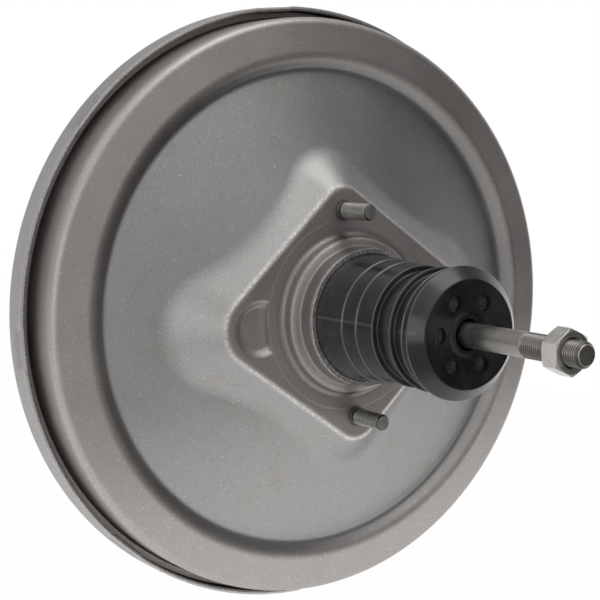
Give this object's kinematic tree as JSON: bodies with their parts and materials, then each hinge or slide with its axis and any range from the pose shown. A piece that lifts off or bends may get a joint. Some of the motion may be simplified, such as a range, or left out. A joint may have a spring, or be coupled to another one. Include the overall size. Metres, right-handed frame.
{
  "type": "vacuum brake booster",
  "caption": "Round pressed-steel vacuum brake booster with a raised rhombic mounting pad, firewall studs, ribbed boot, threaded pedal push rod and side check valve.",
  "frame": {"origin": "centre of the mounting face on the booster's axis, midway between the two firewall studs", "axes": "+Y along the axis towards the master cylinder, -Y towards the brake pedal, +Z through the upper firewall stud"},
  "size_m": [0.2952, 0.3233, 0.2952],
  "materials": {
    "shell_steel": "satin",
    "zinc_steel": "satin",
    "plain_steel": "satin",
    "spring_steel": "satin",
    "rod_steel": "satin",
    "black_rubber": "satin",
    "diaphragm_rubber": "matt",
    "black_plastic": "satin",
    "hub_plastic": "satin",
    "guide_plastic": "satin",
    "filter_foam": "matt"
  },
  "bodies": {
    "housing": {"rear_shell": "shell_steel", "firewall_studs": "zinc_steel", "front_shell": "shell_steel", "reinforcement_plate": "plain_steel", "master_cylinder_studs": "zinc_steel", "front_seal": "black_rubber", "front_seal_retainer": "plain_steel", "rear_seal": "black_rubber", "rear_bearing": "guide_plastic", "boot": "black_rubber", "check_grommet": "black_rubber"},
    "power_piston": {"valve_body": "hub_plastic", "diaphragm_support": "plain_steel", "diaphragm": "diaphragm_rubber", "reaction_disc": "black_rubber", "output_rod": "rod_steel", "output_rod_adjuster": "zinc_steel", "output_rod_retainer": "plain_steel", "return_spring": "spring_steel", "stop_key": "plain_steel", "poppet_valve": "black_rubber", "poppet_retainer": "plain_steel", "poppet_spring": "spring_steel", "push_rod_spring": "spring_steel", "air_filter": "filter_foam", "air_silencer": "filter_foam"},
    "valve_plunger": {"air_valve_plunger": "rod_steel"},
    "pedal_rod": {"push_rod": "rod_steel", "push_rod_spring_seat": "plain_steel"},
    "lock_nut": {"jam_nut": "zinc_steel"},
    "check_valve_body": {"check_valve": "black_plastic", "check_spring": "spring_steel"},
    "check_valve_disc": {"check_disc": "black_rubber"}
  },
  "joints": [
    {"name": "piston_slide", "type": "slide", "parent": "housing", "child": "power_piston", "axis": [0, 1, 0], "range_m": [0, 0.034], "stiffness_N_per_m": 4000, "springref_m": -0.02, "deforming": ["return_spring", "diaphragm", "boot"]},
    {"name": "plunger_slide", "type": "slide", "parent": "power_piston", "child": "valve_plunger", "axis": [0, 1, 0], "range_m": [0, 0.0024], "stiffness_N_per_m": 1500, "springref_m": -0.02, "deforming": ["push_rod_spring", "poppet_spring", "poppet_valve"]},
    {"name": "rod_swing", "type": "hinge", "parent": "valve_plunger", "child": "pedal_rod", "pos_m": [0, -0.006, 0], "axis": [1, 0, 0], "range_deg": [-1, 1], "stiffness_Nm_per_rad": 2},
    {"name": "lock_nut_turn", "type": "hinge", "parent": "pedal_rod", "child": "lock_nut", "pos_m": [0, -0.1507, 0], "axis": [0, 1, 0], "continuous": true},
    {"name": "nozzle_swivel", "type": "hinge", "parent": "housing", "child": "check_valve_body", "pos_m": [-0.0511, 0.131, 0.06541], "axis": [0, 1, 0], "continuous": true},
    {"name": "check_disc_lift", "type": "slide", "parent": "check_valve_body", "child": "check_valve_disc", "axis": [0, 1, 0], "range_m": [0, 0.0015], "stiffness_N_per_m": 20, "springref_m": -0.004, "deforming": ["check_spring"]}
  ]
}
